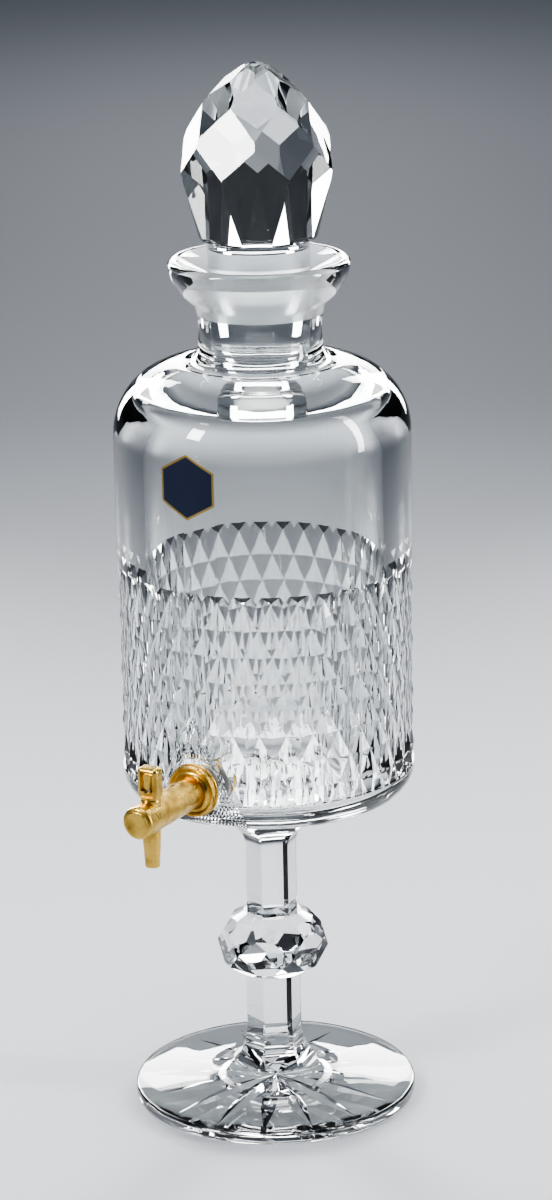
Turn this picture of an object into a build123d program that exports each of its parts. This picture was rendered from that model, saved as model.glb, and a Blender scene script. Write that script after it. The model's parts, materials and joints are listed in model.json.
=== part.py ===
from build123d import *
from math import cos, radians, sin, sqrt
import os

os.makedirs("parts", exist_ok=True)

# A footed cut glass decanter with a ground stopper and a small gold plated tap.
# Millimetres, +Z up. The origin is the centre of the foot's underside, and the tap points along -Y.

# foot
foot_radius = 60.0
foot_edge_round = 1.6
foot_slope = 0.105
star_rays = 16
star_reach = 52.7
star_widest = 33.0
star_depth = 1.9
star_half_width = 3.1
star_turn = -43.4

# stem, cut to six sides, with a faceted knop
stem_sides = 6
stem_turn = -50.0
flare_radius = 20.5
flare_top = 28.5
join_drop = 14.5
join_height = flare_top - join_drop
lower_stem_radius = 11.8
upper_stem_radius = 10.9
knop_rise = 38.7
knop_middle = flare_top + knop_rise
knop_upper_half = 14.6
knop_lower_half = 12.4
knop_radius = 23.9
knop_waist = 12.2
knop_shoulder_radius = 19.2
knop_upper_shoulder = 10.9
knop_lower_shoulder = 9.2
knop_triangle_rise = 7.5
knop_turn = -40.0
upper_stem_length = 30.2
boss_start = knop_middle + knop_upper_half + upper_stem_length
boss_length = 25.5
boss_radius = 14.2
boss_height = 6.2
boss_foot_radius = 18.5
stem_scallop = 12.0
knop_scallop = 3.0
knop_corner_cut = 1.0
knop_crown_cut = 1.4

# bowl: a thick cylinder with a domed shoulder and a flared lip
base_height = boss_start + boss_length
barrel_radius = 61.0
base_round = 11.0
floor_thickness = 6.5
wall = 12.0
floor_round = 4.0
shoulder_radius = 29.3
barrel_length = 154.5
shoulder_height = base_height + barrel_length
shoulder_top = shoulder_height + shoulder_radius
neck_radius = 25.3
neck_fillet = 8.0
neck_waist = 0.1
neck_waist_rise = 15.7
neck_spread = 1.2
neck_length = 23.7
lip_underside_height = shoulder_top + neck_length
lip_step = 1.4
lip_curve_inset = 2.9
lip_curve_drop = 10.4
lip_radius = 37.1
lip_rise = 18.6
lip_height = lip_underside_height + lip_rise
lip_edge_drop = 2.4
lip_crown_inset = 1.8
lip_thickness = 4.6
funnel_drop = 0.8
shoulder_wall = 9.2
ceiling_round = 7.0
throat_rise = 2.2
throat_round = 3.0

# ground joint of the stopper
ground_radius = 20.9
ground_drop = 6.6
ground_top = lip_height - ground_drop
ground_length = 16.0
ground_taper = 0.05
ground_clearance = 0.05

# diamond cutting round the bowl
diamond_columns = 34
diamond_height = 22.3
diamond_rows = 8
pattern_top = base_height + 97.9
pattern_base = base_height + 12.5
groove_depth = 1.7
peak_depth = 0.15
run_out = 5.1
panel_row = 4
panel_side_width = 2.6
cutter_overlap = 4.0

# stopper
stopper_sides = 7
stopper_turn = -61.5
plug_length = 57.0
plug_end_height = ground_top - plug_length
plug_end_radius = 17.6
plug_end_round = 2.5
stopper_neck_height = lip_height + 4.4
stopper_flare = 4.5
root_radius = 24.3
root_height = stopper_neck_height + 7.0
lower_radius = 30.6
lower_height = root_height + 22.0
girdle_radius = 31.0
girdle_height = lower_height + 2.8
kite_radius = 29.9
kite_height = girdle_height + 11.7
side_radius = 27.0
side_height = kite_height - 0.1
upper_radius = 27.9
upper_height = kite_height + 4.5
crown_radius = 20.8
crown_height = upper_height + 12.0
tip_radius = 5.0
tip_height = crown_height + 13.3
stopper_top = tip_height + 1.6

# tap: barrel, flange and the shank through the wall
tap_rise = 18.1
tap_height = base_height + tap_rise
tap_length = 105.9
tap_radius = 6.75
tap_nose_round = 1.4
spot_depth = 1.3
spot_margin = 0.4
flange_radius = 10.6
flange_thickness = 2.6
flange_dish = 1.1
flange_rim = 0.9
barrel_fillet = 1.9
flange_edge_round = 0.36
ring_radius = 11.2
ring_thickness = 1.0
ring_edge_round = 0.4
outer_gasket_radius = 9.8
outer_gasket_thickness = 1.0
shank_radius = 4.5
shank_inside = 9.2
water_way = 2.2
hole_clearance = 0.5
slip = 0.05
inner_gasket_radius = 7.4
inner_gasket_thickness = 2.0
washer_radius = 7.6
washer_thickness = 0.9
nut_across_flats = 12.5
nut_thickness = 4.2
nut_chamfer = 0.5

# valve: a hollow plug turned by the key, which opens a side port to the shank
key_reach = 94.7
plug_radius = 3.5
plug_stem_radius = 2.5
running_fit = 0.05
port_radius = 1.8
seat_height = tap_height - 4.0
plug_shoulder_height = tap_height + 2.9
seal_ring_section = 0.48
lower_ring_section = 0.3
lower_ring_height = seat_height + 1.1
gland_seat_height = tap_height + 5.1
gland_radius = 4.15
gland_thread_radius = 3.95
gland_top = tap_height + 7.5
gland_end = tap_height + 4.0
gland_relief = 0.9
gland_edge_round = 0.6
bore_front_radius = 3.0

# spout
spout_radius = 3.8
spout_tip_radius = 2.95
spout_tip_height = tap_height - 21.4
spout_seat_height = tap_height - 5.5
spout_collar = 3.0
spout_tenon_radius = 3.0
spout_bore = 1.9

# end cap on the nose of the tap
cap_radius = 5.25
cap_recess = 1.5
cap_proud = 0.7
cap_edge_round = 0.45
cap_seal_thickness = 0.5
cap_seal_radius = 4.6
cap_tenon_radius = 2.95
cap_tenon_length = 4.6

# key handle
handle_width = 9.0
handle_depth = 6.1
handle_height = 11.9
handle_round = 1.7
handle_ring_radius = 4.2
handle_ring_height = 1.0
handle_gap = 0.2
socket_depth = 3.2
pocket_width = 5.6
pocket_depth = 1.6
pocket_height = 8.0
tongue_width = 3.6
tongue_end_width = 2.2
tongue_drop = 1.2
tongue_thickness = 1.1
pin_radius = 1.0
pin_height = gland_top + 3.6
pin_end_gap = 0.4

decanter_axis = Axis.Z
meridian = Plane.XZ
tap_axis = Axis((0, 0, tap_height), (0, -1, 0))
tap_face = Plane(origin=(0, 0, tap_height), x_dir=(1, 0, 0), z_dir=(0, -1, 0))
tap_section = Plane(origin=(0, 0, tap_height), x_dir=(0, -1, 0), z_dir=(-1, 0, 0))
key_axis = Axis((0, -key_reach, 0), (0, 0, 1))
key_section = Plane(origin=(0, -key_reach, 0), x_dir=(1, 0, 0), z_dir=(0, -1, 0))
key_floor = Plane(origin=(0, -key_reach, 0))


def outline_face(plane, *points):
    """A flat face with straight sides, in a plane's own coordinates."""
    with BuildSketch(plane) as face:
        with BuildLine():
            Polyline(*points, close=True)
        make_face()
    return face.sketch


def facet_plane(azimuth, low, high):
    """The plane of a facet through two (radius, height) points of one meridian, facing out."""
    (low_radius, low_height), (high_radius, high_height) = low, high
    outward, upward = high_height - low_height, low_radius - high_radius
    turn = radians(azimuth)
    origin = (low_radius * cos(turn), low_radius * sin(turn), low_height)
    return Plane(origin=origin, z_dir=(outward * cos(turn), outward * sin(turn), upward))


def faceted(blank, sides, turn, tiers):
    """A blank cut by tiers of equal facets. Each tier is a half step or none, and two points."""
    step = 360 / sides
    with BuildPart() as cut:
        add(blank)
        for half_steps, low, high in tiers:
            for side in range(sides):
                azimuth = turn + step * (side + half_steps / 2)
                split(bisect_by=facet_plane(azimuth, low, high), keep=Keep.BOTTOM)
    return cut.part


def flat_cutter(apothem, low, high, low_scallop, high_scallop):
    """Glass that a flat wheel takes off one side of the stem, with a scallop at each end."""
    clear = barrel_radius
    with BuildPart() as cutter:
        with BuildSketch(Plane.XZ):
            with BuildLine():
                Line((apothem, low + low_scallop), (apothem, high - high_scallop))
                RadiusArc((apothem, high - high_scallop), (apothem + high_scallop, high), high_scallop)
                Line((apothem + high_scallop, high), (clear, high))
                Line((clear, high), (clear, low))
                Line((clear, low), (apothem + low_scallop, low))
                RadiusArc((apothem + low_scallop, low), (apothem, low + low_scallop), low_scallop)
            make_face()
        extrude(amount=lower_stem_radius, both=True)
    return cutter.part


# The foot's top is a shallow cone that sweeps up into the stem on one arc.
flare_centre = lower_stem_radius + flare_radius
flare_foot = flare_top - flare_radius
join_radius = flare_centre - sqrt(flare_radius**2 - (flare_top - join_height) ** 2)
foot_top_edge = flare_foot - foot_slope * (foot_radius - flare_centre)

with BuildPart() as foot:
    with BuildSketch(meridian):
        with BuildLine():
            Polyline((0, join_height), (0, 0), (foot_radius, 0), (foot_radius, foot_top_edge))
            Line((foot_radius, foot_top_edge), (flare_centre, flare_foot))
            RadiusArc((flare_centre, flare_foot), (join_radius, join_height), flare_radius)
            Line((join_radius, join_height), (0, join_height))
        make_face()
    revolve(axis=decanter_axis)
    rim = foot.edges().filter_by(GeomType.CIRCLE).filter_by(lambda e: e.radius > foot_radius - 1)
    fillet(rim, foot_edge_round)
    # Eight mitre cuts right across the underside make a star of sixteen rays.
    below = 1.0
    spread = star_half_width / star_depth
    half_width = spread * (star_depth + below)
    overrun = (star_reach - star_widest) * below / star_depth
    ray_tip = star_reach + overrun
    for ray in range(star_rays // 2):
        turn = star_turn + ray * 360 / star_rays
        along = Vector(cos(radians(turn)), sin(radians(turn)), 0)
        sections = []
        for side in (-star_widest, star_widest):
            across = Plane(origin=along * side, x_dir=(0, 0, 1), z_dir=along)
            cut = outline_face(across, (star_depth, 0), (-below, half_width), (-below, -half_width))
            sections.append(cut.face())
        near_tip = Vertex(*(along * -ray_tip - Vector(0, 0, below)))
        far_tip = Vertex(*(along * ray_tip - Vector(0, 0, below)))
        loft(sections=[near_tip, sections[0]], ruled=True, mode=Mode.SUBTRACT)
        loft(sections=sections, ruled=True, mode=Mode.SUBTRACT)
        loft(sections=[sections[1], far_tip], ruled=True, mode=Mode.SUBTRACT)
foot.part.label = "foot"
export_step(foot.part, "parts/foot.step")

# The knop: a band of six upright facets, triangles cut from its corners, and crown facets.
knop_low = knop_middle - knop_lower_half
knop_high = knop_middle + knop_upper_half
side_apothem = knop_radius * cos(radians(180 / stem_sides))
corner_apothem = side_apothem - knop_corner_cut
crown_apothem = knop_shoulder_radius - knop_crown_cut


def knop_tiers(up):
    """The knop's facets on one half, above its middle where up is 1 and below where it is -1."""
    middle = knop_middle
    triangle = (corner_apothem, middle + up * knop_triangle_rise)
    side = (side_apothem, middle + up * knop_triangle_rise)
    crown = (crown_apothem, middle + (knop_upper_shoulder if up > 0 else -knop_lower_shoulder))
    corner = (knop_radius, middle)
    tiers = [(0, corner, triangle), (0, triangle, crown), (1, side, crown)]
    return [(half, low, high) if up > 0 else (half, high, low) for half, low, high in tiers]


with BuildPart() as knop_blank:
    with BuildSketch(meridian):
        with BuildLine():
            Polyline(
                (0, knop_low),
                (knop_waist, knop_low),
                (knop_shoulder_radius, knop_middle - knop_lower_shoulder),
                (knop_radius + 1, knop_middle - knop_triangle_rise),
                (knop_radius + 1, knop_middle + knop_triangle_rise),
                (knop_shoulder_radius, knop_middle + knop_upper_shoulder),
                (knop_waist, knop_high),
                (0, knop_high),
                close=True,
            )
        make_face()
    revolve(axis=decanter_axis)

upright = (1, (side_apothem, knop_middle - 1), (side_apothem, knop_middle + 1))
knop_facets = [upright, *knop_tiers(1), *knop_tiers(-1)]
knop = faceted(knop_blank.part, stem_sides, knop_turn, knop_facets)

with BuildPart() as stem:
    with BuildSketch(meridian):
        with BuildLine():
            Polyline((0, base_height), (0, join_height), (join_radius, join_height))
            RadiusArc((join_radius, join_height), (lower_stem_radius, flare_top), flare_radius)
            Polyline(
                (lower_stem_radius, flare_top),
                (lower_stem_radius, knop_middle),
                (upper_stem_radius, knop_middle),
                (upper_stem_radius, boss_start),
                (boss_radius, boss_start + boss_height),
            )
            Spline(
                (boss_radius, boss_start + boss_height),
                (boss_foot_radius, base_height),
                tangents=[(boss_radius - upper_stem_radius, boss_height), (1, 2)],
            )
            Line((boss_foot_radius, base_height), (0, base_height))
        make_face()
    revolve(axis=decanter_axis)
    lower_apothem = lower_stem_radius * cos(radians(180 / stem_sides))
    upper_apothem = upper_stem_radius * cos(radians(180 / stem_sides))
    lower_flat = flat_cutter(
        lower_apothem, flare_top - flare_radius, knop_low + knop_scallop, flare_radius, knop_scallop
    )
    upper_flat = flat_cutter(
        upper_apothem, knop_high - knop_scallop, boss_start + stem_scallop, knop_scallop, stem_scallop
    )
    with PolarLocations(0, stem_sides, start_angle=stem_turn):
        add(lower_flat, mode=Mode.SUBTRACT)
        add(upper_flat, mode=Mode.SUBTRACT)
    add(knop)
stem.part.label = "stem"
export_step(stem.part, "parts/stem.step")

# The diamonds are four-sided pyramids between two families of diagonal grooves.
# Their lattice is a solid core of flat facets, and the grooves are what lies outside it.
half_columns = 2 * diamond_columns
row_step = diamond_height / 2
cell_width = barrel_radius * radians(360 / half_columns)
cell_reach = cell_width * row_step / sqrt(cell_width**2 + row_step**2)
panel_rise = groove_depth * (cell_reach / panel_side_width - 1)
lattice_top = pattern_top + run_out


def lattice_point(column, row):
    """A corner of the lattice: a groove crossing, a diamond's peak, or a point left uncut."""
    signed = (column + diamond_columns) % half_columns - diamond_columns
    height = pattern_top - row * row_step
    radius = barrel_radius - peak_depth
    if row < 0:
        height, radius = lattice_top, barrel_radius + 1
    elif abs(signed) < row - panel_row:
        radius = barrel_radius + panel_rise
    elif (column + row) % 2 == 0:
        radius = barrel_radius - groove_depth
    turn = radians(-90 + signed * 360 / half_columns)
    return Vector(radius * cos(turn), radius * sin(turn), height)


def lattice_cell(column, row):
    """Two facets that meet along the groove between the cell's two groove crossings."""
    left_top, right_top = lattice_point(column, row), lattice_point(column + 1, row)
    left_low, right_low = lattice_point(column, row + 1), lattice_point(column + 1, row + 1)
    if (column + row) % 2 == 0:
        return [(left_top, right_low, right_top), (left_top, left_low, right_low)]
    return [(left_top, left_low, right_top), (right_top, left_low, right_low)]


facets = [
    Face(Wire.make_polygon(corners))
    for row in range(-1, diamond_rows)
    for column in range(half_columns)
    for corners in lattice_cell(column, row)
]
for row in (-1, diamond_rows):
    rim_points = [lattice_point(column, row) for column in range(half_columns)]
    facets.append(Face(Wire.make_polygon(rim_points)))
lattice_core = Solid(Shell(facets))

with BuildPart() as groove_cutter:
    with BuildSketch(Plane.XY.offset(pattern_base)):
        Circle(barrel_radius + cutter_overlap)
    extrude(amount=lattice_top - pattern_base)
    add(lattice_core, mode=Mode.SUBTRACT)

inner_radius = barrel_radius - wall
floor_height = base_height + floor_thickness
shoulder_centre = barrel_radius - shoulder_radius
neck_turn = neck_radius + neck_fillet
bore_radius = ground_radius + ground_clearance
ground_end = ground_top - ground_length
throat_radius = bore_radius - ground_taper * ground_length
throat_height = shoulder_top + throat_rise
funnel_edge = lip_radius - lip_thickness
funnel_height = lip_height - funnel_drop
lip_root = neck_radius + neck_spread
above_lip = lip_height + cutter_overlap

with BuildPart() as bowl:
    with BuildSketch(meridian):
        with BuildLine():
            Line((0, base_height), (barrel_radius - base_round, base_height))
            RadiusArc(
                (barrel_radius - base_round, base_height),
                (barrel_radius, base_height + base_round),
                -base_round,
            )
            Line((barrel_radius, base_height + base_round), (barrel_radius, shoulder_height))
            RadiusArc(
                (barrel_radius, shoulder_height), (shoulder_centre, shoulder_top), -shoulder_radius
            )
            Line((shoulder_centre, shoulder_top), (neck_turn, shoulder_top))
            Line((neck_turn, shoulder_top), (0, shoulder_top))
            Line((0, shoulder_top), (0, base_height))
        make_face()
        with BuildLine():
            Line((0, shoulder_top), (neck_turn, shoulder_top))
            RadiusArc((neck_turn, shoulder_top), (neck_radius, shoulder_top + neck_fillet), neck_fillet)
            ThreePointArc(
                (neck_radius, shoulder_top + neck_fillet),
                (neck_radius - neck_waist, shoulder_top + neck_waist_rise),
                (lip_root, lip_underside_height),
            )
            Line((lip_root, lip_underside_height), (lip_root + lip_step, lip_underside_height + lip_step))
            ThreePointArc(
                (lip_root + lip_step, lip_underside_height + lip_step),
                (lip_radius - lip_curve_inset, lip_height - lip_curve_drop),
                (lip_radius, lip_height - lip_edge_drop),
            )
            ThreePointArc(
                (lip_radius, lip_height - lip_edge_drop),
                (lip_radius - lip_crown_inset, lip_height),
                (funnel_edge, funnel_height),
            )
            Line((funnel_edge, funnel_height), (0, funnel_height))
            Line((0, funnel_height), (0, shoulder_top))
        make_face()
    revolve(axis=decanter_axis)
    with BuildSketch(meridian) as cavity:
        with BuildLine():
            Polyline(
                (0, floor_height),
                (inner_radius, floor_height),
                (inner_radius, shoulder_top - shoulder_wall - ceiling_round),
                (throat_radius, throat_height),
                (throat_radius, ground_end),
                (bore_radius, ground_top),
                (funnel_edge, funnel_height),
                (funnel_edge, above_lip),
                (0, above_lip),
                close=True,
            )
        make_face()
        # Inside a sketch the section's own Y is the height.
        fillet(cavity.vertices().group_by(Axis.Y)[0].sort_by(Axis.X)[-1], floor_round)
        fillet(cavity.vertices().group_by(Axis.X)[-1].sort_by(Axis.Y)[-1], ceiling_round)
        fillet(cavity.vertices().filter_by(lambda v: abs(v.Y - throat_height) < 0.1), throat_round)
    revolve(axis=decanter_axis, mode=Mode.SUBTRACT)
    add(groove_cutter.part, mode=Mode.SUBTRACT)
    # A flat ground round the tap hole gives the flange its seat.
    with BuildSketch(tap_face.offset(barrel_radius - spot_depth)):
        Circle(sqrt(barrel_radius**2 - (barrel_radius - spot_depth) ** 2) + spot_margin)
    extrude(amount=spot_depth + cutter_overlap, mode=Mode.SUBTRACT)
    with BuildSketch(tap_face.offset(inner_radius - cutter_overlap)):
        Circle(shank_radius + hole_clearance)
    extrude(amount=wall + cutter_overlap, mode=Mode.SUBTRACT)
bowl.part.label = "bowl"
export_step(bowl.part, "parts/bowl.step")

# The stopper: a seven-sided faceted head on a long plug, ground where it meets the neck.
plug_ground_end = ground_radius - ground_taper * ground_length
half_side = cos(radians(180 / stopper_sides))
head_clear = girdle_radius + 2 * cutter_overlap
head_top = stopper_top + cutter_overlap
flare_end = (ground_radius + stopper_flare, stopper_neck_height + stopper_flare)
with BuildPart() as head_blank:
    with BuildSketch(meridian):
        with BuildLine():
            Line((0, stopper_neck_height), (ground_radius, stopper_neck_height))
            RadiusArc((ground_radius, stopper_neck_height), flare_end, stopper_flare)
            Line(flare_end, (head_clear, stopper_neck_height + stopper_flare))
            Line((head_clear, stopper_neck_height + stopper_flare), (head_clear, head_top))
            Line((head_clear, head_top), (0, head_top))
            Line((0, head_top), (0, stopper_neck_height))
        make_face()
    revolve(axis=decanter_axis)

head_tiers = [
    (0, (tip_radius, tip_height), (0, stopper_top)),
    (1, (crown_radius * half_side, crown_height + 2.5), (tip_radius * half_side, tip_height)),
    (0, (upper_radius, upper_height), (crown_radius * half_side, crown_height)),
    (1, (girdle_radius, girdle_height), (side_radius, side_height)),
    (0, (girdle_radius * half_side, girdle_height), (kite_radius, kite_height)),
    (1, (root_radius, root_height), (lower_radius, lower_height)),
]
with BuildPart() as stopper:
    add(faceted(head_blank.part, stopper_sides, stopper_turn, head_tiers))
    # The facets end at the head, so the plug below them stays round.
    with BuildSketch(meridian) as plug_section:
        with BuildLine():
            Polyline(
                (0, stopper_neck_height),
                (0, plug_end_height),
                (plug_end_radius, plug_end_height),
                (plug_ground_end, ground_end),
                (ground_radius, ground_top),
                (ground_radius, stopper_neck_height),
                close=True,
            )
        make_face()
        fillet(plug_section.vertices().group_by(Axis.Y)[0].sort_by(Axis.X)[-1], plug_end_round)
    revolve(axis=decanter_axis)
stopper.part.label = "stopper"
export_step(stopper.part, "parts/stopper.step")

# The tap's stack, measured out from the decanter's axis: glass, gasket, ring, flange, barrel.
spot_face = barrel_radius - spot_depth
ring_seat = spot_face + outer_gasket_thickness
flange_seat = ring_seat + ring_thickness
flange_front = flange_seat + flange_thickness
shank_end = inner_radius - shank_inside
washer_seat = inner_radius - inner_gasket_thickness
nut_seat = washer_seat - washer_thickness
plug_bore = plug_radius + running_fit

with BuildPart() as outer_gasket:
    with BuildSketch(tap_face.offset(spot_face)):
        Circle(outer_gasket_radius)
        Circle(shank_radius + slip, mode=Mode.SUBTRACT)
    extrude(amount=outer_gasket_thickness)
outer_gasket.part.label = "outer_gasket"
export_step(outer_gasket.part, "parts/outer_gasket.step")

with BuildPart() as backing_ring:
    with BuildSketch(tap_face.offset(ring_seat)):
        Circle(ring_radius)
        Circle(shank_radius + slip, mode=Mode.SUBTRACT)
    extrude(amount=ring_thickness)
    outer_edges = backing_ring.edges().filter_by(lambda e: e.length > 6 * ring_radius)
    fillet(outer_edges, ring_edge_round)
backing_ring.part.label = "backing_ring"
export_step(backing_ring.part, "parts/backing_ring.step")

with BuildPart() as tap_barrel:
    with BuildSketch(tap_section):
        with BuildLine():
            Polyline(
                (flange_seat, 0),
                (flange_seat, flange_radius),
                (flange_front, flange_radius),
                (flange_front, flange_radius - flange_rim),
                (flange_front - flange_dish, flange_radius - 2 * flange_rim),
                (flange_front - flange_dish, tap_radius),
                (tap_length, tap_radius),
                (tap_length, 0),
                close=True,
            )
        make_face()
    revolve(axis=tap_axis)
    barrel_edges = tap_barrel.edges().filter_by(GeomType.CIRCLE)
    nose = barrel_edges.filter_by(lambda e: abs(e.radius - tap_radius) < 0.01).sort_by(Axis.Y)
    fillet(nose[:1], tap_nose_round)
    root = tap_barrel.edges().filter_by(
        lambda e: e.geom_type == GeomType.CIRCLE
        and abs(e.radius - tap_radius) < 0.01
        and abs(e.center().Y + flange_front - flange_dish) < 0.01
    )
    fillet(root, barrel_fillet)
    outer_rim = tap_barrel.edges().filter_by(
        lambda e: e.geom_type == GeomType.CIRCLE and abs(e.radius - flange_radius) < 0.01
    )
    fillet(outer_rim, flange_edge_round)
    with BuildSketch(tap_face.offset(shank_end)):
        Circle(shank_radius)
    extrude(amount=flange_seat - shank_end)
    with BuildSketch(tap_face.offset(shank_end)):
        Circle(water_way)
    extrude(amount=key_reach - shank_end, mode=Mode.SUBTRACT)
    with BuildSketch(tap_face.offset(key_reach)):
        Circle(bore_front_radius)
    extrude(amount=tap_length - key_reach, mode=Mode.SUBTRACT)
    with BuildSketch(tap_face.offset(tap_length - cap_recess)):
        Circle(cap_radius + slip)
    extrude(amount=cap_recess, mode=Mode.SUBTRACT)
    key_cut = outline_face(
        key_section,
        (0, tap_height - 2 * tap_radius),
        (spout_radius + slip, tap_height - 2 * tap_radius),
        (spout_radius + slip, spout_seat_height),
        (spout_tenon_radius + slip, spout_seat_height),
        (spout_tenon_radius + slip, seat_height),
        (plug_bore, seat_height),
        (plug_bore, gland_end - gland_relief),
        (gland_thread_radius + slip, gland_end - gland_relief),
        (gland_thread_radius + slip, gland_seat_height),
        (gland_radius + slip, gland_seat_height),
        (gland_radius + slip, tap_height + 2 * tap_radius),
        (0, tap_height + 2 * tap_radius),
    )
    revolve(key_cut, axis=key_axis, mode=Mode.SUBTRACT)
tap_barrel.part.label = "tap_barrel"
export_step(tap_barrel.part, "parts/tap_barrel.step")

# The inner gasket's outer face is curved to the bowl's wall, and its inner face is flat.
with BuildPart() as inner_gasket:
    with BuildSketch(tap_face.offset(washer_seat)):
        Circle(inner_gasket_radius)
        Circle(shank_radius + slip, mode=Mode.SUBTRACT)
    extrude(amount=inner_gasket_thickness + 1)
    with BuildSketch(Plane.XY.offset(tap_height - 2 * inner_gasket_radius)):
        Circle(inner_radius + 8)
        Circle(inner_radius - slip, mode=Mode.SUBTRACT)
    extrude(amount=4 * inner_gasket_radius, mode=Mode.SUBTRACT)
inner_gasket.part.label = "inner_gasket"
export_step(inner_gasket.part, "parts/inner_gasket.step")

with BuildPart() as inner_washer:
    with BuildSketch(tap_face.offset(nut_seat)):
        Circle(washer_radius)
        Circle(shank_radius + slip, mode=Mode.SUBTRACT)
    extrude(amount=washer_thickness)
inner_washer.part.label = "inner_washer"
export_step(inner_washer.part, "parts/inner_washer.step")

with BuildPart() as lock_nut:
    with BuildSketch(tap_face.offset(nut_seat - nut_thickness)):
        RegularPolygon(radius=nut_across_flats / 2, side_count=6, major_radius=False)
        Circle(shank_radius + slip, mode=Mode.SUBTRACT)
    extrude(amount=nut_thickness)
    nut_edges = lock_nut.edges().filter_by(GeomType.LINE).group_by(Axis.Y)[-1]
    chamfer(nut_edges, nut_chamfer)
lock_nut.part.label = "lock_nut"
export_step(lock_nut.part, "parts/lock_nut.step")

# The key turns the hollow plug. Its port faces aside at rest, which shuts the tap.
plug_low = seat_height + running_fit
plug_top = gland_top + handle_gap + handle_ring_height + socket_depth - slip
with BuildPart() as key_plug:
    plug_section = outline_face(
        key_section,
        (0, plug_low),
        (plug_radius, plug_low),
        (plug_radius, plug_shoulder_height),
        (plug_stem_radius, plug_shoulder_height),
        (plug_stem_radius, plug_top),
        (0, plug_top),
    )
    revolve(plug_section, axis=key_axis)
    groove_floor = plug_radius + running_fit - 2 * lower_ring_section - 2 * slip
    groove_half = lower_ring_section + slip
    ring_groove = outline_face(
        key_section,
        (groove_floor, lower_ring_height - groove_half),
        (plug_radius + 1, lower_ring_height - groove_half),
        (plug_radius + 1, lower_ring_height + groove_half),
        (groove_floor, lower_ring_height + groove_half),
    )
    revolve(ring_groove, axis=key_axis, mode=Mode.SUBTRACT)
    with BuildSketch(key_floor.offset(plug_low)):
        Circle(port_radius)
    extrude(amount=tap_height - plug_low, mode=Mode.SUBTRACT)
    with BuildSketch(Plane(origin=(0, -key_reach, tap_height), x_dir=(0, 1, 0), z_dir=(1, 0, 0))):
        Circle(port_radius)
    extrude(amount=plug_radius + 1, mode=Mode.SUBTRACT)
    with BuildSketch(key_section.offset(-handle_depth)):
        with Locations((0, pin_height)):
            Circle(pin_radius + slip)
    extrude(amount=2 * handle_depth, mode=Mode.SUBTRACT)
key_plug.part.label = "key_plug"
export_step(key_plug.part, "parts/key_plug.step")

with BuildPart() as plug_o_ring:
    with BuildSketch(key_section):
        with Locations((groove_floor + slip + lower_ring_section, lower_ring_height)):
            Circle(lower_ring_section)
    revolve(axis=key_axis)
plug_o_ring.part.label = "plug_o_ring"
export_step(plug_o_ring.part, "parts/plug_o_ring.step")

with BuildPart() as gland_o_ring:
    ring_centre = plug_stem_radius + running_fit + seal_ring_section
    ring_height = (plug_shoulder_height + gland_end) / 2 + running_fit / 2
    with BuildSketch(key_section):
        with Locations((ring_centre, ring_height)):
            Circle(seal_ring_section)
    revolve(axis=key_axis)
gland_o_ring.part.label = "gland_o_ring"
export_step(gland_o_ring.part, "parts/gland_o_ring.step")

with BuildPart() as gland_nut:
    gland_section = outline_face(
        key_section,
        (plug_stem_radius + running_fit, gland_end),
        (gland_thread_radius, gland_end),
        (gland_thread_radius, gland_seat_height),
        (gland_radius, gland_seat_height),
        (gland_radius, gland_top),
        (plug_stem_radius + running_fit, gland_top),
    )
    revolve(gland_section, axis=key_axis)
    gland_rim = gland_nut.edges().filter_by(
        lambda e: e.geom_type == GeomType.CIRCLE
        and abs(e.radius - gland_radius) < 0.01
        and e.center().Z > gland_top - 0.1
    )
    fillet(gland_rim, gland_edge_round)
gland_nut.part.label = "gland_nut"
export_step(gland_nut.part, "parts/gland_nut.step")

with BuildPart() as spout:
    spout_section = outline_face(
        key_section,
        (spout_bore, spout_tip_height),
        (spout_tip_radius, spout_tip_height),
        (spout_radius, spout_seat_height - spout_collar),
        (spout_radius, spout_seat_height),
        (spout_tenon_radius, spout_seat_height),
        (spout_tenon_radius, seat_height - slip),
        (spout_bore, seat_height - slip),
    )
    revolve(spout_section, axis=key_axis)
spout.part.label = "spout"
export_step(spout.part, "parts/spout.step")

cap_seat = tap_length - cap_recess + cap_seal_thickness
with BuildPart() as end_cap_seal:
    with BuildSketch(tap_face.offset(tap_length - cap_recess)):
        Circle(cap_seal_radius)
        Circle(cap_tenon_radius + 2 * slip, mode=Mode.SUBTRACT)
    extrude(amount=cap_seal_thickness)
end_cap_seal.part.label = "end_cap_seal"
export_step(end_cap_seal.part, "parts/end_cap_seal.step")

with BuildPart() as end_cap:
    with BuildSketch(tap_face.offset(cap_seat)):
        Circle(cap_radius)
    extrude(amount=tap_length + cap_proud - cap_seat)
    cap_rim = end_cap.edges().filter_by(GeomType.CIRCLE).sort_by(Axis.Y)[:1]
    fillet(cap_rim, cap_edge_round)
    with BuildSketch(tap_face.offset(cap_seat - cap_tenon_length)):
        Circle(cap_tenon_radius)
    extrude(amount=cap_tenon_length)
end_cap.part.label = "end_cap"
export_step(end_cap.part, "parts/end_cap.step")

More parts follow.
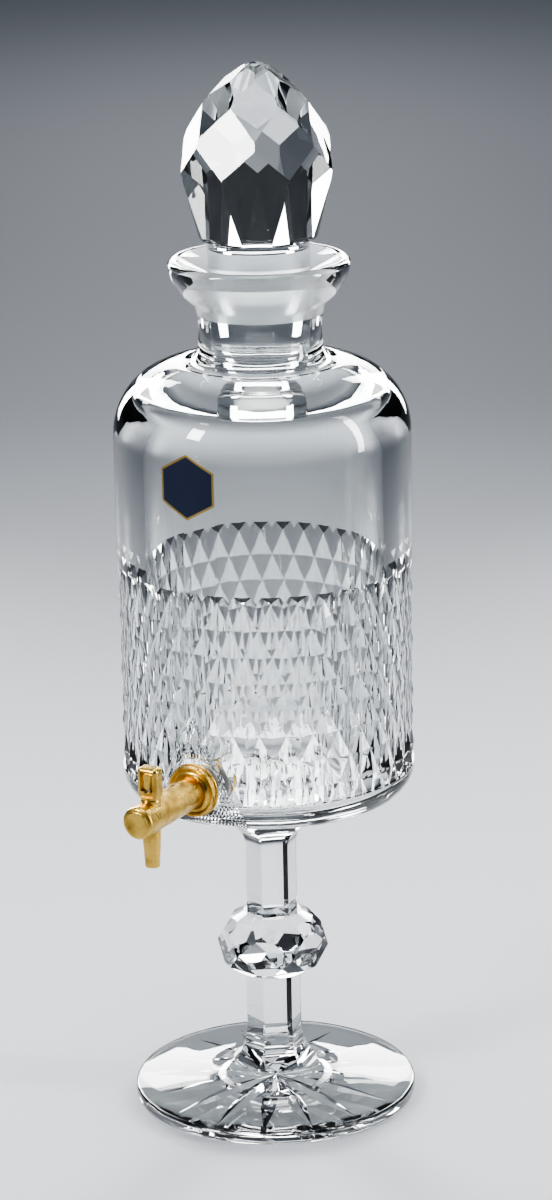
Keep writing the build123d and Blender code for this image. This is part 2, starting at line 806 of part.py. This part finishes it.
# The handle is a block with a hollow front, held on the plug's stem by a cross pin.
handle_low = gland_top + handle_gap + handle_ring_height
with BuildPart() as key_handle:
    with BuildSketch(key_floor.offset(handle_low)):
        Rectangle(handle_width, handle_depth)
    extrude(amount=handle_height)
    fillet(key_handle.edges().filter_by(Axis.Z), handle_round)
    fillet(key_handle.edges().group_by(Axis.Z)[-1], handle_round)
    with BuildSketch(key_section.offset(handle_depth / 2)):
        with Locations((0, handle_low + handle_height - handle_round - pocket_height / 2)):
            Rectangle(pocket_width, pocket_height)
    extrude(amount=-pocket_depth, mode=Mode.SUBTRACT)
    tongue_top = handle_low + handle_height - handle_round - tongue_drop
    with BuildSketch(key_section.offset(handle_depth / 2 - pocket_depth)):
        with BuildLine():
            Polyline(
                (-tongue_width / 2, tongue_top),
                (tongue_width / 2, tongue_top),
                (tongue_end_width / 2, pin_height + pin_radius),
                (-tongue_end_width / 2, pin_height + pin_radius),
                close=True,
            )
        make_face()
    extrude(amount=tongue_thickness)
    with BuildSketch(key_floor.offset(handle_low - handle_ring_height)):
        Circle(handle_ring_radius)
    extrude(amount=handle_ring_height)
    with BuildSketch(key_floor.offset(handle_low - handle_ring_height)):
        Circle(plug_stem_radius + slip)
    extrude(amount=handle_ring_height + socket_depth, mode=Mode.SUBTRACT)
    with BuildSketch(key_section.offset(-handle_depth)):
        with Locations((0, pin_height)):
            Circle(pin_radius + slip)
    extrude(amount=2 * handle_depth, mode=Mode.SUBTRACT)
key_handle.part.label = "key_handle"
export_step(key_handle.part, "parts/key_handle.step")

with BuildPart() as handle_pin:
    with BuildSketch(key_section.offset(pin_end_gap - handle_depth / 2)):
        with Locations((0, pin_height)):
            Circle(pin_radius)
    extrude(amount=handle_depth - pocket_depth)
handle_pin.part.label = "handle_pin"
export_step(handle_pin.part, "parts/handle_pin.step")
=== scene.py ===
import bpy
import json
from math import atan, ceil, cos, hypot, radians, sin, sqrt
from mathutils import Matrix, Vector


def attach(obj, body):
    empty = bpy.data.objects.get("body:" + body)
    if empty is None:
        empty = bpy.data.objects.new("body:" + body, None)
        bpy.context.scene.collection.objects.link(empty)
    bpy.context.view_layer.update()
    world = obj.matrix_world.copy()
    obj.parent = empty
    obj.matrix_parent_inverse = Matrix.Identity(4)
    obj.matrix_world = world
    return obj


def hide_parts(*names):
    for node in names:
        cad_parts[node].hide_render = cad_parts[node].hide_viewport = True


# Looks of a footed cut glass decanter with a gold plated tap. Metres, +Z up, tap along -Y.
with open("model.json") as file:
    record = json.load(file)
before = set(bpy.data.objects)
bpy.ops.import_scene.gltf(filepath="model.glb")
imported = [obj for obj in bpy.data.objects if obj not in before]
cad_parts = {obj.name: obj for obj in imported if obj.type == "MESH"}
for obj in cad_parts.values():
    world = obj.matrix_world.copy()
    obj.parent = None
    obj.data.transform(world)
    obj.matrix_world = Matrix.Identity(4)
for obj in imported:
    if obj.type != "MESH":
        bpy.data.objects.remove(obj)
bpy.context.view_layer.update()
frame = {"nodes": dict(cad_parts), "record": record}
nodes = frame["nodes"]
scene = bpy.context.scene
mergeDistance = 0.000001  # vertices nearer to each other than this are one
print("frame loaded:", len(nodes), "nodes")


def colourFrom(code):
    # sRGB hex to Blender's linear colour
    parts = [int(code[i:i + 2], 16) / 255 for i in (1, 3, 5)]
    return [p / 12.92 if p <= 0.04045 else ((p + 0.055) / 1.055) ** 2.4 for p in parts] + [1]


def addNode(tree, kind, settings=(), links=()):
    # settings go to the node's sockets or properties, links come from other nodes' outputs
    node = tree.nodes.new(kind)
    for name, value in dict(settings).items():
        if name in node.inputs:
            node.inputs[name].default_value = value
        else:
            setattr(node, name, value)
    for name, socket in dict(links).items():
        tree.links.new(socket, node.inputs[name])
    return node


def newMaterial(name, settings):
    material = bpy.data.materials.new(name)
    material.use_nodes = True
    shader = material.node_tree.nodes["Principled BSDF"]
    for socket, value in settings.items():
        shader.inputs[socket].default_value = value
    return material, material.node_tree, shader


def selectOnly(piece):
    bpy.ops.object.select_all(action="DESELECT")
    piece.select_set(True)
    bpy.context.view_layer.objects.active = piece


def applyModifier(piece, modifier):
    selectOnly(piece)
    bpy.ops.object.modifier_apply(modifier=modifier.name)


def mergedCopy(nodeName, name):
    # a CAD node's mesh is loose triangles, so its copy is merged before any work on it
    piece = bpy.data.objects.new(name, nodes[nodeName].data.copy())
    scene.collection.objects.link(piece)
    piece.data.materials.clear()
    selectOnly(piece)
    if piece.data.has_custom_normals:
        bpy.ops.mesh.customdata_custom_splitnormals_clear()
    bpy.ops.object.mode_set(mode="EDIT")
    bpy.ops.mesh.select_all(action="SELECT")
    bpy.ops.mesh.remove_doubles(threshold=mergeDistance)
    bpy.ops.object.mode_set(mode="OBJECT")
    return piece


def smoothByAngle(piece, angle):
    selectOnly(piece)
    bpy.ops.object.shade_smooth_by_angle(angle=radians(angle))


def creaseEdges(piece, zone):
    # cut facets keep hard edges where the zone reaches, on top of the smooth shading
    mesh = piece.data
    normals = {}
    for face in mesh.polygons:
        for key in face.edge_keys:
            normals.setdefault(key, []).append(face.normal)
    limit = cos(radians(zone["angle"]))
    for edge in mesh.edges:
        ends = [mesh.vertices[index].co for index in edge.vertices]
        middle = (ends[0] + ends[1]) / 2
        level = zone["low"] < middle.z < zone["top"]
        within = zone["inner"] <= hypot(middle.x, middle.y) < zone["outer"]
        pair = normals.get(edge.key, [])
        if len(pair) == 2 and pair[0].dot(pair[1]) < limit and level and within:
            edge.use_edge_sharp = True


# camera, as the photograph was taken: from the right of the tap, looking a little down
cameraSet = {
    "azimuth": 30, "tilt": 17, "roll": -1.18, "distance": 1.458, "height": 0.665,
    "lens": 110.4, "sensor": 36, "shiftX": 0.0085, "clipEnd": 100,
}
cameraData = bpy.data.cameras.new("camera")
cameraData.sensor_fit = "VERTICAL"
cameraData.sensor_height = cameraSet["sensor"]
cameraData.lens = cameraSet["lens"]
cameraData.shift_x = cameraSet["shiftX"]
cameraData.clip_end = cameraSet["clipEnd"]
camera = bpy.data.objects.new("camera", cameraData)
scene.collection.objects.link(camera)
azimuth = radians(cameraSet["azimuth"])
standing = Vector((sin(azimuth), -cos(azimuth), 0)) * cameraSet["distance"]
turn = Matrix.Rotation(azimuth, 4, "Z")
turn = turn @ Matrix.Rotation(radians(90 - cameraSet["tilt"]), 4, "X")
turn = turn @ Matrix.Rotation(radians(cameraSet["roll"]), 4, "Z")
camera.matrix_world = Matrix.Translation((standing.x, standing.y, cameraSet["height"])) @ turn
scene.camera = camera
print("camera set")

# lights: a softbox at the left front, one overhead, one along the floor behind, and four strips
# that stand out of the picture, so that the cut facets have both bright and dark to show
lightSet = {
    "left": {
        "at": (-0.66, -1.32, 1.06), "aim": (0, 0, 0.38), "size": (0.3, 0.42),
        "power": 8, "spread": 110,
    },
    "top": {
        "at": (0.05, -0.1, 1.6), "aim": (0, 0, 0), "size": (0.6, 0.6),
        "power": 2.2, "spread": 75,
    },
    "behind": {
        "at": (-0.78, 1.35, 1.6), "aim": (-0.88, 1.52, 0), "size": (0.4, 2.6),
        "power": 3.2, "spread": 60,
    },
    "rearLeft": {
        "at": (-0.95, 0.60, 0.62), "aim": (0, 0, 0.25), "size": (0.2, 0.95),
        "power": 3, "spread": 60,
    },
    "rearRight": {
        "at": (-0.05, 1.13, 0.62), "aim": (0, 0, 0.25), "size": (0.2, 0.95),
        "power": 3, "spread": 60,
    },
    "rearTop": {
        "at": (-0.90, 1.56, 0.72), "aim": (0, 0, 0.25), "size": (1.5, 0.35),
        "power": 4, "spread": 60,
    },
    "right": {
        "at": (1.35, 0.45, 0.6), "aim": (0, 0, 0.2), "size": (0.18, 1.1),
        "power": 5, "spread": 80,
    },
}
for name, settings in lightSet.items():
    lampData = bpy.data.lights.new(name, "AREA")
    lampData.shape = "RECTANGLE"
    lampData.size, lampData.size_y = settings["size"]
    lampData.energy = settings["power"]
    lampData.spread = radians(settings["spread"])
    lamp = bpy.data.objects.new(name, lampData)
    scene.collection.objects.link(lamp)
    lamp.location = settings["at"]
    aim = Vector(settings["aim"]) - Vector(settings["at"])
    lamp.rotation_euler = aim.to_track_quat("-Z", "Y").to_euler()

# the room is dim to just above the horizon, for dark edges in the glass, and paler overhead,
# for an even floor; the picture gets a little more contrast, for the sparkle of cut glass
roomSet = {
    "colour": "#A0A6B0", "dimUpTo": 0.1, "horizon": 0.07, "overhead": 0.62,
    "look": "AgX - Medium High Contrast",
}
world = bpy.data.worlds.new("room")
world.use_nodes = True
roomTree = world.node_tree
background = roomTree.nodes["Background"]
background.inputs["Color"].default_value = colourFrom(roomSet["colour"])
direction = addNode(roomTree, "ShaderNodeTexCoord")
upward = addNode(roomTree, "ShaderNodeSeparateXYZ",
                 links={"Vector": direction.outputs["Generated"]})
glow = addNode(roomTree, "ShaderNodeMapRange", {
    "From Min": roomSet["dimUpTo"], "From Max": 1,
    "To Min": roomSet["horizon"], "To Max": roomSet["overhead"],
}, {"Value": upward.outputs["Z"]})
roomTree.links.new(glow.outputs["Result"], background.inputs["Strength"])
scene.world = world
scene.view_settings.look = roomSet["look"]

# floor: matt pale paper, laid a hair under the foot so that the two surfaces don't fight
floorSet = {
    "colour": "#B4B7BC", "roughness": 0.6, "specular": 0.2, "size": 100, "under": 0.0002,
}
mattPaper = newMaterial("mattPaper", {
    "Base Color": colourFrom(floorSet["colour"]), "Roughness": floorSet["roughness"],
    "Specular IOR Level": floorSet["specular"],
})[0]
bpy.ops.mesh.primitive_plane_add(size=floorSet["size"], location=(0, 0, -floorSet["under"]))
floor = bpy.context.object
floor.name = "floor"
floor.data.materials.append(mattPaper)
print("lights and floor set")

# lead crystal: blown, cut and acid polished, so it is clear with crisp facets and a faint wave
crystalSet = {
    "tint": "#FBFDFD", "ior": 1.545, "roughness": 0.006, "transmission": 1,
    "waveSize": 0.014, "waveHeight": 0.00004,
}
crystal, tree, shader = newMaterial("polishedLeadCrystal", {
    "Base Color": colourFrom(crystalSet["tint"]), "Roughness": crystalSet["roughness"],
    "IOR": crystalSet["ior"], "Transmission Weight": crystalSet["transmission"],
})
coordinates = addNode(tree, "ShaderNodeTexCoord")
wave = addNode(tree, "ShaderNodeTexNoise", {"Scale": 1 / crystalSet["waveSize"], "Detail": 1},
               {"Vector": coordinates.outputs["Object"]})
waveBump = addNode(tree, "ShaderNodeBump",
                   {"Strength": 1, "Distance": crystalSet["waveHeight"]},
                   {"Height": wave.outputs["Fac"]})
tree.links.new(waveBump.outputs["Normal"], shader.inputs["Normal"])

# ground crystal: wheel-ground and left matt, so it scatters light and looks grey-white
groundSet = {
    "tint": "#E9EEF0", "ior": 1.545, "roughness": 0.42, "transmission": 0.8,
    "grain": 0.0005, "grainHeight": 0.00008,
}
ground, tree, shader = newMaterial("groundLeadCrystal", {
    "Base Color": colourFrom(groundSet["tint"]), "Roughness": groundSet["roughness"],
    "IOR": groundSet["ior"], "Transmission Weight": groundSet["transmission"],
})
coordinates = addNode(tree, "ShaderNodeTexCoord")
grain = addNode(tree, "ShaderNodeTexNoise", {"Scale": 1 / groundSet["grain"], "Detail": 2},
                {"Vector": coordinates.outputs["Object"]})
grainBump = addNode(tree, "ShaderNodeBump", {"Strength": 1, "Distance": groundSet["grainHeight"]},
                    {"Height": grain.outputs["Fac"]})
tree.links.new(grainBump.outputs["Normal"], shader.inputs["Normal"])
print("glass materials made")

# glass body: bowl, stem and foot are one piece of glass, joined hot, with no seam inside;
# inside the neck a band is ground to take the stopper
bodySet = {
    "smooth": 32, "bandLow": 0.341, "bandTop": 0.3572, "bandRadius": 0.0213,
    "creases": {
        "bowlCutting": {"angle": 6, "low": 0.148, "top": 0.2415, "inner": 0.0585, "outer": 0.062},
        "stemAndKnop": {"angle": 8, "low": 0.020, "top": 0.132, "inner": 0, "outer": 0.0260},
        "footStar": {"angle": 8, "low": -0.001, "top": 0.0019, "inner": 0, "outer": 0.0560},
    },
}
glassBody = mergedCopy("bowl", "glassBody")
for nodeName in ("stem", "foot"):
    gather = mergedCopy(nodeName, nodeName + "Gather")
    join = glassBody.modifiers.new("join", "BOOLEAN")
    join.operation = "UNION"
    join.solver = "EXACT"
    join.object = gather
    applyModifier(glassBody, join)
    bpy.data.objects.remove(gather)

# cross hatching round the tap: fine V cuts both ways leave a field of small pyramids in the panel.
# slope is how far a cut leans across for its rise, skin is how deep the pyramids' points lie
# under the polished glass, and lift is how far the cutter stands out of it
hatchSet = {
    "pitch": 0.0014, "depth": 0.00055, "skin": 0.00008, "lift": 0.001, "slope": 0.5056,
    "top": 0.1864, "base": 0.1398, "tapHeight": 0.1556, "tapClear": 0.0108,
    "barrelRadius": 0.061, "baseRound": 0.011, "baseCurve": 0.1485,
}
lean = atan(hatchSet["slope"])
cellHalfWidth = hatchSet["pitch"] / (2 * cos(lean))
cellHalfHeight = hatchSet["pitch"] / (2 * sin(lean))
cells = ceil((hatchSet["top"] - hatchSet["base"]) / cellHalfHeight)
halfDiagonal = sqrt(0.5)  # of the grid's cells, which are 1 wide and stand on a corner
bpy.ops.object.select_all(action="DESELECT")
bpy.ops.mesh.primitive_grid_add(
    x_subdivisions=cells, y_subdivisions=cells, size=cells, rotation=(0, 0, radians(45)))
hatching = bpy.context.object
bpy.ops.object.transform_apply(rotation=True)
hatching.scale = (cellHalfWidth / halfDiagonal, cellHalfHeight / halfDiagonal, 1)
hatching.location.y = hatchSet["top"] - cells * cellHalfHeight
bpy.ops.object.transform_apply()
bpy.ops.object.mode_set(mode="EDIT")
bpy.ops.mesh.select_mode(type="FACE")
bpy.ops.mesh.select_all(action="DESELECT")
bpy.ops.object.mode_set(mode="OBJECT")
for face in hatching.data.polygons:
    beyondBase = face.center.y < hatchSet["base"]
    fromTap = hypot(face.center.x, face.center.y - hatchSet["tapHeight"])
    face.select = beyondBase or fromTap < hatchSet["tapClear"]
bpy.ops.object.mode_set(mode="EDIT")
bpy.ops.mesh.delete(type="FACE")
bpy.ops.mesh.select_all(action="SELECT")
bpy.ops.mesh.poke(offset=hatchSet["depth"])
bpy.ops.mesh.select_all(action="SELECT")
bpy.ops.mesh.extrude_region_move(TRANSFORM_OT_translate={"value": (0, 0, hatchSet["lift"])})
bpy.ops.mesh.select_all(action="SELECT")
bpy.ops.mesh.normals_make_consistent(inside=False)
bpy.ops.object.mode_set(mode="OBJECT")
for vertex in hatching.data.vertices:
    # laid on the barrel, and round the curve of its base
    drop = max(0, hatchSet["baseCurve"] - vertex.co.y)
    radius = hatchSet["barrelRadius"] - hatchSet["baseRound"]
    radius += sqrt(hatchSet["baseRound"] ** 2 - drop ** 2)
    radius += vertex.co.z - hatchSet["depth"] - hatchSet["skin"]
    around = vertex.co.x / hatchSet["barrelRadius"]
    vertex.co = Vector((radius * sin(around), -radius * cos(around), vertex.co.y))
hatchCut = glassBody.modifiers.new("hatching", "BOOLEAN")
hatchCut.operation = "DIFFERENCE"
hatchCut.solver = "EXACT"
hatchCut.object = hatching
print("hatching:", len(hatching.data.polygons), "faces")
applyModifier(glassBody, hatchCut)
bpy.data.objects.remove(hatching)

glassBody.data.materials.append(crystal)
glassBody.data.materials.append(ground)
smoothByAngle(glassBody, bodySet["smooth"])
for zone in bodySet["creases"].values():
    creaseEdges(glassBody, zone)
for face in glassBody.data.polygons:
    level = bodySet["bandLow"] < face.center.z < bodySet["bandTop"]
    inNeck = hypot(face.center.x, face.center.y) < bodySet["bandRadius"]
    face.material_index = int(level and inNeck)
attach(glassBody, "decanter")
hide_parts("bowl", "stem", "foot")
print("glass body made:", len(glassBody.data.polygons), "faces")

# stopper: cut head with polished facets and a ground band where the plug meets the neck
stopperSet = {
    "smooth": 30, "bandLow": 0.341, "bandTop": 0.3572, "bandRadius": 0.018,
    "crease": {"angle": 5, "low": 0.373, "top": 0.45, "inner": 0, "outer": 0.04},
}
stopperGlass = mergedCopy("stopper", "stopperGlass")
stopperGlass.data.materials.append(crystal)
stopperGlass.data.materials.append(ground)
smoothByAngle(stopperGlass, stopperSet["smooth"])
creaseEdges(stopperGlass, stopperSet["crease"])
for face in stopperGlass.data.polygons:
    level = stopperSet["bandLow"] < face.center.z < stopperSet["bandTop"]
    outside = hypot(face.center.x, face.center.y) > stopperSet["bandRadius"]
    face.material_index = int(level and outside)
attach(stopperGlass, "stopper")
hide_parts("stopper")
print("stopper made:", len(stopperGlass.data.polygons), "faces")

# gold plate on turned brass: pale warm gold, duller and deeper in patches from handling, with
# fine polishing marks
goldSet = {
    "bright": "#DEB85F", "brightAt": 0.52, "deep": "#A07C3A", "deepAt": 0.28,
    "polished": 0.2, "polishedAt": 0.7, "dull": 0.38, "dullAt": 0.3,
    "patch": 0.006, "marks": 0.0005, "markHeight": 0.000006,
}
gold, tree, shader = newMaterial("goldPlatedBrass", {"Metallic": 1})
coordinates = addNode(tree, "ShaderNodeTexCoord")
patches = addNode(tree, "ShaderNodeTexNoise", {"Scale": 1 / goldSet["patch"], "Detail": 4},
                  {"Vector": coordinates.outputs["Object"]})
tones = addNode(tree, "ShaderNodeValToRGB", links={"Fac": patches.outputs["Fac"]})
tones.color_ramp.elements[0].color = colourFrom(goldSet["deep"])
tones.color_ramp.elements[0].position = goldSet["deepAt"]
tones.color_ramp.elements[1].color = colourFrom(goldSet["bright"])
tones.color_ramp.elements[1].position = goldSet["brightAt"]
dulling = addNode(tree, "ShaderNodeMapRange", {
    "From Min": goldSet["dullAt"], "From Max": goldSet["polishedAt"],
    "To Min": goldSet["dull"], "To Max": goldSet["polished"],
}, {"Value": patches.outputs["Fac"]})
marks = addNode(tree, "ShaderNodeTexNoise", {"Scale": 1 / goldSet["marks"], "Detail": 3},
                {"Vector": coordinates.outputs["Object"]})
markBump = addNode(tree, "ShaderNodeBump", {"Strength": 1, "Distance": goldSet["markHeight"]},
                   {"Height": marks.outputs["Fac"]})
tree.links.new(tones.outputs["Color"], shader.inputs["Base Color"])
tree.links.new(dulling.outputs["Result"], shader.inputs["Roughness"])
tree.links.new(markBump.outputs["Normal"], shader.inputs["Normal"])

# silicone rubber: moulded, so it is milky white and matt with a fine grain, and little of it
# shows through the cut glass
siliconeSet = {
    "colour": "#DDDBD6", "roughness": 0.6, "specular": 0.4,
    "grain": 0.0004, "grainHeight": 0.00005, "grainStrength": 0.4,
}
silicone, tree, shader = newMaterial("mouldedSilicone", {
    "Base Color": colourFrom(siliconeSet["colour"]), "Roughness": siliconeSet["roughness"],
    "Specular IOR Level": siliconeSet["specular"],
})
coordinates = addNode(tree, "ShaderNodeTexCoord")
grain = addNode(tree, "ShaderNodeTexNoise", {"Scale": 1 / siliconeSet["grain"], "Detail": 2},
                {"Vector": coordinates.outputs["Object"]})
grainBump = addNode(tree, "ShaderNodeBump", {
    "Strength": siliconeSet["grainStrength"], "Distance": siliconeSet["grainHeight"],
}, {"Height": grain.outputs["Fac"]})
tree.links.new(grainBump.outputs["Normal"], shader.inputs["Normal"])

# drawn steel: grey, with fine lines that the draw plate leaves
steelSet = {
    "colour": "#A8A39C", "roughness": 0.35,
    "lines": 0.00025, "stretch": 0.05, "lineHeight": 0.00002, "lineStrength": 0.3,
}
steel, tree, shader = newMaterial("drawnSteel", {
    "Base Color": colourFrom(steelSet["colour"]), "Metallic": 1,
    "Roughness": steelSet["roughness"],
})
coordinates = addNode(tree, "ShaderNodeTexCoord")
lengthwise = addNode(tree, "ShaderNodeMapping", {"Scale": (1, steelSet["stretch"], 1)},
                     {"Vector": coordinates.outputs["Object"]})
lines = addNode(tree, "ShaderNodeTexNoise", {"Scale": 1 / steelSet["lines"], "Detail": 2},
                {"Vector": lengthwise.outputs["Vector"]})
lineBump = addNode(tree, "ShaderNodeBump", {
    "Strength": steelSet["lineStrength"], "Distance": steelSet["lineHeight"],
}, {"Height": lines.outputs["Fac"]})
tree.links.new(lineBump.outputs["Normal"], shader.inputs["Normal"])

finishes = {
    "glass": crystal, "stopper_glass": crystal, "gold_plate": gold, "gasket": silicone,
    "steel": steel,
}
for subpart in frame["record"]["subparts"]:
    node = nodes[subpart["node"]]
    node.data.materials.clear()
    node.data.materials.append(finishes[subpart["material_slot"]])
print("tap finished in gold plate, silicone and steel")

# foil label: a bare six-sided sticker on the front above the tap. Blue lacquered foil has a soft
# sheen and a slight crinkle, and the thin border is bare gold foil, bright and pale
labelSet = {
    "sides": 6, "height": 0.2825, "halfWidth": 0.012, "halfHeight": 0.0135, "border": 0.0009,
    "thickness": 0.00012, "gap": 0.00003, "subdivisions": 4, "smooth": 40,
    "barrelRadius": 0.061, "shoulderRadius": 0.0293, "shoulderHeight": 0.292,
    "blue": "#18233C", "blueMetal": 0.3, "blueRoughness": 0.42,
    "gold": "#C7A865", "goldRoughness": 0.35,
    "crinkle": 0.01 / 3, "crinkleHeight": 0.0001, "crinkleStrength": 0.5,
}
blueFoil, tree, shader = newMaterial("blueFoil", {
    "Base Color": colourFrom(labelSet["blue"]), "Metallic": labelSet["blueMetal"],
    "Roughness": labelSet["blueRoughness"],
})
coordinates = addNode(tree, "ShaderNodeTexCoord")
crinkle = addNode(tree, "ShaderNodeTexNoise", {"Scale": 1 / labelSet["crinkle"], "Detail": 3},
                  {"Vector": coordinates.outputs["Object"]})
crinkleBump = addNode(tree, "ShaderNodeBump", {
    "Strength": labelSet["crinkleStrength"], "Distance": labelSet["crinkleHeight"],
}, {"Height": crinkle.outputs["Fac"]})
tree.links.new(crinkleBump.outputs["Normal"], shader.inputs["Normal"])
goldFoil = newMaterial("goldFoil", {
    "Base Color": colourFrom(labelSet["gold"]), "Metallic": 1,
    "Roughness": labelSet["goldRoughness"],
})[0]

bpy.ops.object.select_all(action="DESELECT")
bpy.ops.mesh.primitive_circle_add(vertices=labelSet["sides"], radius=1, fill_type="NGON")
label = bpy.context.object
label.name = "foilLabel"
acrossFlats = cos(radians(180 / labelSet["sides"]))
bpy.ops.object.mode_set(mode="EDIT")
bpy.ops.mesh.select_all(action="SELECT")
bpy.ops.transform.resize(
    value=(labelSet["halfWidth"] / acrossFlats, labelSet["halfHeight"], 1))
bpy.ops.mesh.inset(thickness=labelSet["border"], use_even_offset=True)
bpy.ops.object.mode_set(mode="OBJECT")
label.data.materials.append(goldFoil)
label.data.materials.append(blueFoil)
for face in label.data.polygons:
    face.material_index = int(len(face.vertices) == labelSet["sides"])
selectOnly(label)
bpy.ops.object.mode_set(mode="EDIT")
bpy.ops.mesh.select_all(action="SELECT")
bpy.ops.mesh.quads_convert_to_tris()
for cutRound in range(labelSet["subdivisions"]):
    bpy.ops.mesh.subdivide(number_cuts=1)
bpy.ops.object.mode_set(mode="OBJECT")
for vertex in label.data.vertices:
    # laid on the barrel's curve, and on the start of the shoulder's
    height = labelSet["height"] + vertex.co.y
    rise = max(0, height - labelSet["shoulderHeight"])
    radius = labelSet["barrelRadius"] - labelSet["shoulderRadius"]
    radius += sqrt(labelSet["shoulderRadius"] ** 2 - rise ** 2) + labelSet["gap"]
    around = vertex.co.x / labelSet["barrelRadius"]
    vertex.co = Vector((radius * sin(around), -radius * cos(around), height))
backing = label.modifiers.new("thickness", "SOLIDIFY")
backing.thickness = labelSet["thickness"]
backing.offset = 1
applyModifier(label, backing)
smoothByAngle(label, labelSet["smooth"])
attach(label, "decanter")
print("label made:", len(label.data.polygons), "faces")
